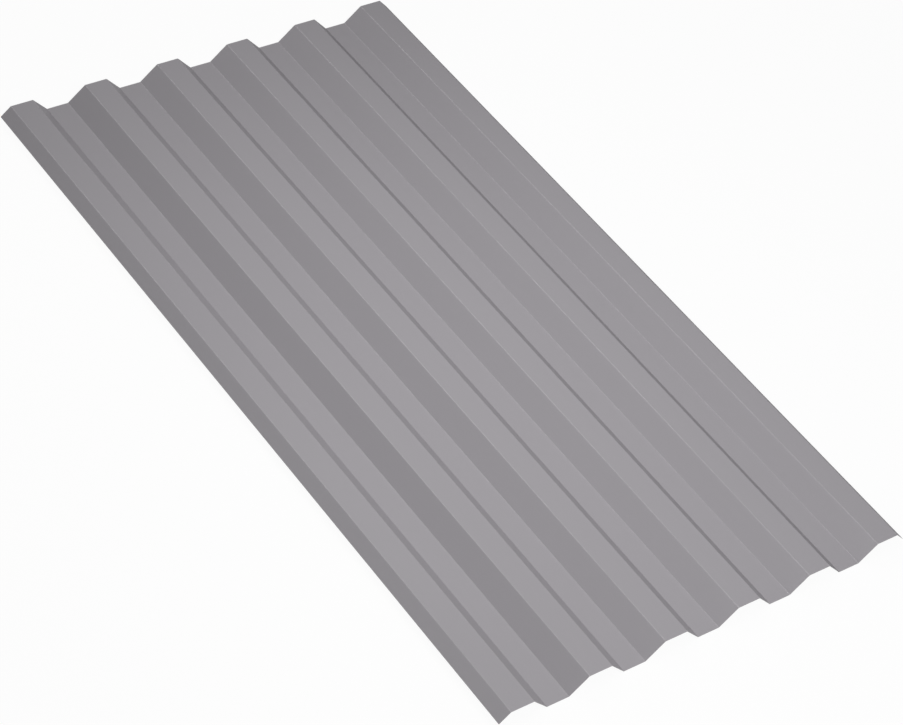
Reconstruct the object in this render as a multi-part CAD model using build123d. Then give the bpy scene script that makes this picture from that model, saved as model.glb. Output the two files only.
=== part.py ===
from build123d import *
import os

# Trapezoidal ribbed roofing and walling sheet, one piece of roll-formed steel.
# X runs across the ribs, Y along them and Z up, all in millimetres.
# The origin is under the middle of the sheet, on the floor that the pans rest on.

# Driving dimensions
sheet_length = 1828.8
rib_count = 6
rib_pitch = 182.88
crest_width = 53.9
pan_width = 52.0
rib_rise = 37.7
lip_width = 31.8
sheet_thickness = 0.7
inside_bend_radius = 2.0

# Sizes that follow from them
web_run = (rib_pitch - crest_width - pan_width) / 2
web_slope = Vector(web_run, 0, rib_rise).normalized()
outside_bend_radius = inside_bend_radius + sheet_thickness
crest_span = (rib_count - 1) * rib_pitch + crest_width

# Tangent of half the bend angle, which sets how far a corner shifts through the sheet
half_bend_tangent = (1 - web_slope.X) / web_slope.Z


def rib_corners(depth):
    """Corners of one face of the sheet from left to right, depth below the upper face."""
    shift = depth * half_bend_tangent
    crest_z = rib_rise + sheet_thickness - depth
    pan_z = sheet_thickness - depth
    corners = []
    for rib in range(rib_count):
        crest_start = rib * rib_pitch - crest_span / 2
        crest_end = crest_start + crest_width
        corners.append((crest_start + shift, crest_z))
        corners.append((crest_end - shift, crest_z))
        if rib < rib_count - 1:
            pan_start = crest_end + web_run
            corners.append((pan_start - shift, pan_z))
            corners.append((pan_start + pan_width + shift, pan_z))
    return corners


def lip_ends(depth):
    """Free ends of the two edge lips, cut square to the lip's slope."""
    crest_edge = crest_span / 2
    inward = depth * web_slope.Z
    end_x = crest_edge + lip_width * web_slope.X - inward
    end_z = rib_rise + sheet_thickness - lip_width * web_slope.Z - depth * web_slope.X
    return (-end_x, end_z), (end_x, end_z)


def face_line(depth, crest_radius, pan_radius):
    """One face of the sheet as a line of flats joined by bends."""
    left_end, right_end = lip_ends(depth)
    crest_bends = [crest_radius, crest_radius]
    pan_bends = [pan_radius, pan_radius]
    radii = (crest_bends + pan_bends) * (rib_count - 1) + crest_bends
    return FilletPolyline(left_end, *rib_corners(depth), right_end, radius=radii)


def sheet_section():
    """The rolled section: upper face, lower face and the two cut lip ends."""
    upper = face_line(0, outside_bend_radius, inside_bend_radius)
    lower = face_line(sheet_thickness, inside_bend_radius, outside_bend_radius)
    left_cut = Line(upper @ 0, lower @ 0)
    right_cut = Line(upper @ 1, lower @ 1)
    return make_face(upper.edges() + right_cut.edges() + lower.edges() + left_cut.edges())


def profiled_sheet():
    """The section stood up across the width and run along the sheet both ways."""
    section = Plane.XZ * sheet_section()
    return extrude(section, amount=sheet_length / 2, both=True)


os.makedirs("parts", exist_ok=True)
export_step(profiled_sheet(), "parts/profiled_sheet.step")
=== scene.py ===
import math

import bpy
from mathutils import Matrix, Vector


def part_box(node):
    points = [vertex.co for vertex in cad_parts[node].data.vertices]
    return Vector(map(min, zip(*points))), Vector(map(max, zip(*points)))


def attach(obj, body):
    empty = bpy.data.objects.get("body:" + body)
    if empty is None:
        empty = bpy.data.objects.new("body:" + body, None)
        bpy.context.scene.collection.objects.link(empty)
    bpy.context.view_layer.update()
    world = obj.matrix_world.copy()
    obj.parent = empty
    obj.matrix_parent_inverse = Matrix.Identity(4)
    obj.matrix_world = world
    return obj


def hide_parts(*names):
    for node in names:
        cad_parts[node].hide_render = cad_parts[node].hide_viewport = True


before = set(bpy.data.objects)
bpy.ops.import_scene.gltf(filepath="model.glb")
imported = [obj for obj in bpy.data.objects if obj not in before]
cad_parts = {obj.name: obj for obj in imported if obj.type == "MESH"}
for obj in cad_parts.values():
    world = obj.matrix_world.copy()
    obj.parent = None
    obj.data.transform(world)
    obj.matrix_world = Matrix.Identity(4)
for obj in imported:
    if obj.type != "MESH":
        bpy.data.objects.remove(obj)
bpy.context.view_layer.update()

# Rolled section, in metres
rib_count = 6
rib_pitch = 0.18288
crest_width = 0.0539
pan_width = 0.052
rib_rise = 0.0377
lip_width = 0.0318
sheet_thickness = 0.0007
inside_bend_radius = 0.002
outside_bend_radius = inside_bend_radius + sheet_thickness

# How finely the sheet is meshed, and the material slots of its faces
bend_steps = 8
length_steps = 24
paint_slot, back_slot, cut_slot = range(3)

# Sizes that follow from the section and from the frame
web_run = (rib_pitch - crest_width - pan_width) / 2
web_slope = Vector((web_run, rib_rise)).normalized()
half_bend_tangent = (1 - web_slope.x) / web_slope.y
crest_span = (rib_count - 1) * rib_pitch + crest_width
sheet_low, sheet_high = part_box("profiled_sheet")
sheet_length = sheet_high.y - sheet_low.y

# Grain of the coats, in waves in a metre along X, Y and Z; the coil runs along Y
peel_waves = (1800, 1800, 1800)
streak_waves = (320, 5, 320)
band_waves = (3, 1.2, 3)
band_share = 0.06

# The hard skin that gives the coats their gloss
skin_index = 2.5
skin_roughness = 0.3

# Camera: place and line of sight in metres, roll in degrees, lens and sensor in millimetres
camera_place = Vector((-3.0404, -3.0405, 3.9449))
camera_view = Vector((0.51349, 0.51537, -0.6861))
camera_roll = 14.035
camera_lens = 112.79
camera_shift_x = 0.034
sensor_width = 36.0

# Floor: its half width and its drop below the pans in metres, the colour that the light falls on,
# and how much of its look is plain white to whatever sees it
floor_reach = 12.0
floor_drop = 0.0001
floor_colour = (0.8, 0.8, 0.8, 1)
floor_white = 0.95
plain_white = (1, 1, 1, 1)

# Light: the strength of the even fill, then each softbox's name, place, the point that it faces
# and its width in metres, and its share of the light
fill_light = 0.186
softboxes = (
    ("near_overhead", (0, -0.75, 1.4), (0, -0.75, 0), 1.0, 0.243),
    ("far_overhead", (0, 0.3, 1.1), (0, 0.3, 0), 0.8, 0.272),
    ("near_softbox", (-2, -5, 4.6), (0, 0, 0), 3.0, 0.237),
    ("far_softbox", (0.3, 3.6, 4.2), (0, 0, 0), 1.5, 0.073),
)


def rib_corners(depth):
    """Corners of one face of the section, left to right, at a depth below the upper face."""
    shift = depth * half_bend_tangent
    crest_z = rib_rise + sheet_thickness - depth
    pan_z = sheet_thickness - depth
    corners = []
    for rib in range(rib_count):
        crest_start = rib * rib_pitch - crest_span / 2
        crest_end = crest_start + crest_width
        corners.append(Vector((crest_start + shift, crest_z)))
        corners.append(Vector((crest_end - shift, crest_z)))
        if rib < rib_count - 1:
            pan_start = crest_end + web_run
            corners.append(Vector((pan_start - shift, pan_z)))
            corners.append(Vector((pan_start + pan_width + shift, pan_z)))
    return corners


def lip_end(side, depth):
    """Free end of the left (-1) or right (1) edge lip, cut square to its slope."""
    reach = crest_span / 2 + lip_width * web_slope.x - depth * web_slope.y
    drop = lip_width * web_slope.y + depth * web_slope.x
    return Vector((side * reach, rib_rise + sheet_thickness - drop))


def bend(before, corner, after, radius):
    """Points round the bend that a corner of the section is rolled to."""
    towards = (before - corner).normalized()
    away = (after - corner).normalized()
    half_angle = towards.angle(away) / 2
    start = corner + towards * radius / math.tan(half_angle)
    centre = corner + (towards + away).normalized() * radius / math.sin(half_angle)
    turn = math.pi - 2 * half_angle
    if towards.cross(away) > 0:
        turn = -turn
    arm = start - centre
    return [centre + Matrix.Rotation(turn * step / bend_steps, 2) @ arm
            for step in range(bend_steps + 1)]


def face_line(depth, crest_radius, pan_radius):
    """One face of the section as points along its flats and bends."""
    corners = [lip_end(-1, depth), *rib_corners(depth), lip_end(1, depth)]
    points = [corners[0]]
    for index in range(1, len(corners) - 1):
        on_crest = (index - 1) % 4 < 2
        radius = crest_radius if on_crest else pan_radius
        points += bend(corners[index - 1], corners[index], corners[index + 1], radius)
    points.append(corners[-1])
    return points


def mark_burnish(mesh):
    """Marks how far the forming rolls burnish each point: fully in mid-bend, not on the flats."""
    face = [0.0]
    for _ in rib_corners(0):
        face += [math.sin(math.pi * step / bend_steps) for step in range(bend_steps + 1)]
    face.append(0.0)
    mark = mesh.attributes.new("burnish", "FLOAT", "POINT")
    mark.data.foreach_set("value", (face + face) * (length_steps + 1))


def skin_faces(size, count):
    """Faces along the sheet and their slots, for rings of a size whose first points are the upper face."""
    faces = []
    slots = []
    for row in range(length_steps):
        for index in range(size):
            follow = (index + 1) % size
            near = row * size
            far = near + size
            faces.append((near + index, near + follow, far + follow, far + index))
            if index < count - 1:
                slots.append(paint_slot)
            elif count <= index < size - 1:
                slots.append(back_slot)
            else:
                slots.append(cut_slot)
    return faces, slots


def end_faces(size, count):
    """Faces that close the near and the far end of the sheet."""
    faces = []
    for row, outward in ((0, 1), (length_steps, -1)):
        base = row * size
        for index in range(count - 1):
            below = size - 1 - index
            quad = (base + index, base + below, base + below - 1, base + index + 1)
            faces.append(quad[::outward])
    return faces


def rolled_sheet():
    """The sheet as one closed mesh: paint above, back coat below, bare steel at the cuts."""
    upper = face_line(0, outside_bend_radius, inside_bend_radius)
    lower = face_line(sheet_thickness, inside_bend_radius, outside_bend_radius)
    ring = upper + lower[::-1]
    vertices = []
    for row in range(length_steps + 1):
        y = sheet_low.y + sheet_length * row / length_steps
        vertices += [(point.x, y, point.y) for point in ring]

    faces, slots = skin_faces(len(ring), len(upper))
    ends = end_faces(len(ring), len(upper))
    faces += ends
    slots += [cut_slot] * len(ends)

    mesh = bpy.data.meshes.new("profiled_sheet_rolled")
    mesh.from_pydata(vertices, [], faces)
    mesh.polygons.foreach_set("material_index", slots)
    mesh.polygons.foreach_set("use_smooth", [slot != cut_slot for slot in slots])
    mesh.validate()
    mesh.update()
    mark_burnish(mesh)
    sheet = bpy.data.objects.new("rolled_sheet", mesh)
    bpy.context.scene.collection.objects.link(sheet)
    weighted = sheet.modifiers.new("flats_stay_flat", "WEIGHTED_NORMAL")
    weighted.keep_sharp = True
    return sheet


def add_node(tree, kind, **settings):
    """A new node in a tree, with its settings."""
    node = tree.nodes.new(kind)
    for name, value in settings.items():
        setattr(node, name, value)
    return node


def arithmetic(tree, operation, first, second):
    """A Math node of two inputs, each a socket or a number, and its result."""
    node = add_node(tree, "ShaderNodeMath", operation=operation)
    for socket, value in zip(node.inputs, (first, second)):
        if isinstance(value, bpy.types.NodeSocket):
            tree.links.new(value, socket)
        else:
            socket.default_value = value
    return node.outputs[0]


def noise(tree, waves, detail):
    """Noise in the sheet's own metres, with its number of waves in a metre along X, Y and Z."""
    place = add_node(tree, "ShaderNodeTexCoord")
    scale = add_node(tree, "ShaderNodeVectorMath", operation="MULTIPLY")
    scale.inputs[1].default_value = waves
    texture = add_node(tree, "ShaderNodeTexNoise")
    texture.inputs["Scale"].default_value = 1
    texture.inputs["Detail"].default_value = detail
    tree.links.new(place.outputs["Object"], scale.inputs[0])
    tree.links.new(scale.outputs[0], texture.inputs["Vector"])
    return arithmetic(tree, "SUBTRACT", texture.outputs["Fac"], 0.5)


def coil_finish():
    """Node group for a finish laid on flat coil: fine peel, streaks along the coil and slow bands."""
    group = bpy.data.node_groups.new("coil_finish", "ShaderNodeTree")
    sockets = group.interface
    for name, kind, value in (("Colour", "NodeSocketColor", (0.5, 0.5, 0.5, 1)),
                              ("Shade spread", "NodeSocketFloat", 0.1),
                              ("Streak share", "NodeSocketFloat", 0.5),
                              ("Roughness", "NodeSocketFloat", 0.5),
                              ("Roughness spread", "NodeSocketFloat", 0.5)):
        sockets.new_socket(name, in_out="INPUT", socket_type=kind).default_value = value
    for name, kind in (("Colour", "NodeSocketColor"), ("Roughness", "NodeSocketFloat"),
                       ("Height", "NodeSocketFloat")):
        sockets.new_socket(name, in_out="OUTPUT", socket_type=kind)
    given = add_node(group, "NodeGroupInput").outputs
    result = add_node(group, "NodeGroupOutput").inputs

    peel = noise(group, peel_waves, 2)
    streaks = arithmetic(group, "MULTIPLY", noise(group, streak_waves, 3), given["Streak share"])
    bands = arithmetic(group, "MULTIPLY", noise(group, band_waves, 1), band_share)
    marks = arithmetic(group, "ADD", peel, streaks)

    uneven = arithmetic(group, "ADD", marks, bands)
    shade = arithmetic(group, "MULTIPLY", uneven, given["Shade spread"])
    shaded = add_node(group, "ShaderNodeVectorMath", operation="SCALE")
    group.links.new(given["Colour"], shaded.inputs[0])
    group.links.new(arithmetic(group, "ADD", shade, 1), shaded.inputs["Scale"])
    group.links.new(shaded.outputs[0], result["Colour"])

    rougher = arithmetic(group, "MULTIPLY", marks, given["Roughness spread"])
    group.links.new(arithmetic(group, "ADD", given["Roughness"], rougher), result["Roughness"])
    group.links.new(marks, result["Height"])
    return group


def surface_of(material):
    """The Principled shader of a material."""
    return material.node_tree.nodes["Principled BSDF"]


def coated(name, group, look, relief):
    """A material with a look from the coil finish group and a relief in metres."""
    material = bpy.data.materials.new(name)
    material.use_nodes = True
    tree = material.node_tree
    shader = surface_of(material)
    grain = add_node(tree, "ShaderNodeGroup", node_tree=group)
    for socket, value in look.items():
        grain.inputs[socket].default_value = value
    bump = add_node(tree, "ShaderNodeBump")
    bump.inputs["Strength"].default_value = 1
    bump.inputs["Distance"].default_value = relief
    tree.links.new(grain.outputs["Colour"], shader.inputs["Base Color"])
    tree.links.new(grain.outputs["Roughness"], shader.inputs["Roughness"])
    tree.links.new(grain.outputs["Height"], bump.inputs["Height"])
    tree.links.new(bump.outputs["Normal"], shader.inputs["Normal"])
    return material


def press_skin(material, on_flats, in_bends):
    """Gives a coat its gloss as a thin hard skin, pressed smooth by the forming rolls in the bends."""
    tree = material.node_tree
    shader = surface_of(material)
    mark = add_node(tree, "ShaderNodeAttribute", attribute_name="burnish")
    pressed = arithmetic(tree, "MULTIPLY", mark.outputs["Fac"], in_bends - on_flats)
    tree.links.new(arithmetic(tree, "ADD", pressed, on_flats), shader.inputs["Coat Weight"])
    shader.inputs["Coat Roughness"].default_value = skin_roughness
    shader.inputs["Coat IOR"].default_value = skin_index
    shader.inputs["Specular IOR Level"].default_value = 0


def coil_coat(group):
    """The grey paint of the upper face."""
    look = {"Colour": (0.3477, 0.333, 0.3526, 1), "Shade spread": 0.12, "Streak share": 0.2,
            "Roughness": 0.6, "Roughness spread": 0.5}
    material = coated("coil_coat", group, look, relief=0.00002)
    press_skin(material, on_flats=0.08, in_bends=0.3)
    return material


def back_coat(group):
    """The thin pale coat of the underside."""
    look = {"Colour": (0.5, 0.5, 0.49, 1), "Shade spread": 0.2, "Streak share": 0.6,
            "Roughness": 0.65, "Roughness spread": 0.5}
    material = coated("back_coat", group, look, relief=0.00002)
    press_skin(material, on_flats=0.12, in_bends=0.32)
    return material


def cut_edge(group):
    """Bare sheared steel where the sheet is cut."""
    look = {"Colour": (0.42, 0.41, 0.41, 1), "Shade spread": 0.5, "Streak share": 1,
            "Roughness": 0.45, "Roughness spread": 0.4}
    material = coated("cut_edge", group, look, relief=0.00001)
    surface_of(material).inputs["Metallic"].default_value = 0.7
    return material


def seen_directly(tree):
    """A mask of 1 for rays from the camera, from gloss and through clear things."""
    path = add_node(tree, "ShaderNodeLightPath").outputs
    mask = arithmetic(tree, "MAXIMUM", path["Is Camera Ray"], path["Is Glossy Ray"])
    return arithmetic(tree, "MAXIMUM", mask, path["Is Transmission Ray"])


def blend(tree, share, first, second):
    """A Mix Shader node that goes from the first shader to the second as the share rises."""
    mix = add_node(tree, "ShaderNodeMixShader")
    for socket, source in zip(mix.inputs, (share, first, second)):
        tree.links.new(source, socket)
    return mix.outputs[0]


def studio_camera():
    """The camera at the photograph's place, with its roll about the line of sight."""
    data = bpy.data.cameras.new("studio_camera")
    data.sensor_fit = "HORIZONTAL"
    data.sensor_width = sensor_width
    data.lens = camera_lens
    data.shift_x = camera_shift_x
    data.clip_start = 0.1
    data.clip_end = 100
    camera = bpy.data.objects.new("studio_camera", data)
    level = camera_view.to_track_quat("-Z", "Y").to_matrix()
    roll = Matrix.Rotation(math.radians(camera_roll), 3, "Z")
    camera.matrix_world = Matrix.Translation(camera_place) @ (level @ roll).to_4x4()
    bpy.context.scene.collection.objects.link(camera)
    bpy.context.scene.camera = camera


def pale_floor():
    """The floor's material: lit and shadowed, mostly white to look at, and clear from underneath."""
    material = bpy.data.materials.new("pale_floor")
    material.use_nodes = True
    tree = material.node_tree
    lit = surface_of(material)
    lit.inputs["Base Color"].default_value = floor_colour
    lit.inputs["Roughness"].default_value = 0.9
    lit.inputs["Specular IOR Level"].default_value = 0
    white = add_node(tree, "ShaderNodeEmission")
    clear = add_node(tree, "ShaderNodeBsdfTransparent")
    whiteness = arithmetic(tree, "MULTIPLY", seen_directly(tree), floor_white)
    top = blend(tree, whiteness, lit.outputs[0], white.outputs[0])
    below = add_node(tree, "ShaderNodeNewGeometry").outputs["Backfacing"]
    surface = blend(tree, below, top, clear.outputs[0])
    tree.links.new(surface, tree.nodes["Material Output"].inputs["Surface"])
    return material


def studio_floor():
    """A wide floor a hair below the pans."""
    corners = [(x * floor_reach, y * floor_reach, -floor_drop)
               for x, y in ((-1, -1), (1, -1), (1, 1), (-1, 1))]
    mesh = bpy.data.meshes.new("studio_floor")
    mesh.from_pydata(corners, [], [(0, 1, 2, 3)])
    mesh.materials.append(pale_floor())
    floor = bpy.data.objects.new("studio_floor", mesh)
    bpy.context.scene.collection.objects.link(floor)


def studio_world():
    """White surroundings to look at, with an even fill light."""
    world = bpy.data.worlds.new("studio_world")
    bpy.context.scene.world = world
    world.use_nodes = True
    tree = world.node_tree
    lit = tree.nodes["Background"]
    lit.inputs["Color"].default_value = plain_white
    lit.inputs["Strength"].default_value = fill_light
    white = add_node(tree, "ShaderNodeBackground")
    white.inputs["Color"].default_value = plain_white
    surface = blend(tree, seen_directly(tree), lit.outputs[0], white.outputs[0])
    tree.links.new(surface, tree.nodes["World Output"].inputs["Surface"])


def softbox(name, place, aim, width, share):
    """A square lamp that gives the sheet's middle a share of the light at which colours show as written."""
    data = bpy.data.lights.new(name, "AREA")
    data.shape = "SQUARE"
    data.size = width
    beam = (aim - place).normalized()
    facing = beam.dot(-place.normalized())
    data.energy = share * math.pi ** 2 * place.length ** 3 / (place.z * facing)
    lamp = bpy.data.objects.new(name, data)
    turn = beam.to_track_quat("-Z", "Y").to_matrix().to_4x4()
    lamp.matrix_world = Matrix.Translation(place) @ turn
    lamp.visible_camera = False
    bpy.context.scene.collection.objects.link(lamp)


sheet = rolled_sheet()
grain = coil_finish()
for coat in (coil_coat, back_coat, cut_edge):
    sheet.data.materials.append(coat(grain))
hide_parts("profiled_sheet")
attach(sheet, "root")

studio_camera()
studio_floor()
studio_world()
for name, place, aim, width, share in softboxes:
    softbox(name, Vector(place), Vector(aim), width, share)
bpy.context.scene.view_settings.view_transform = "Standard"
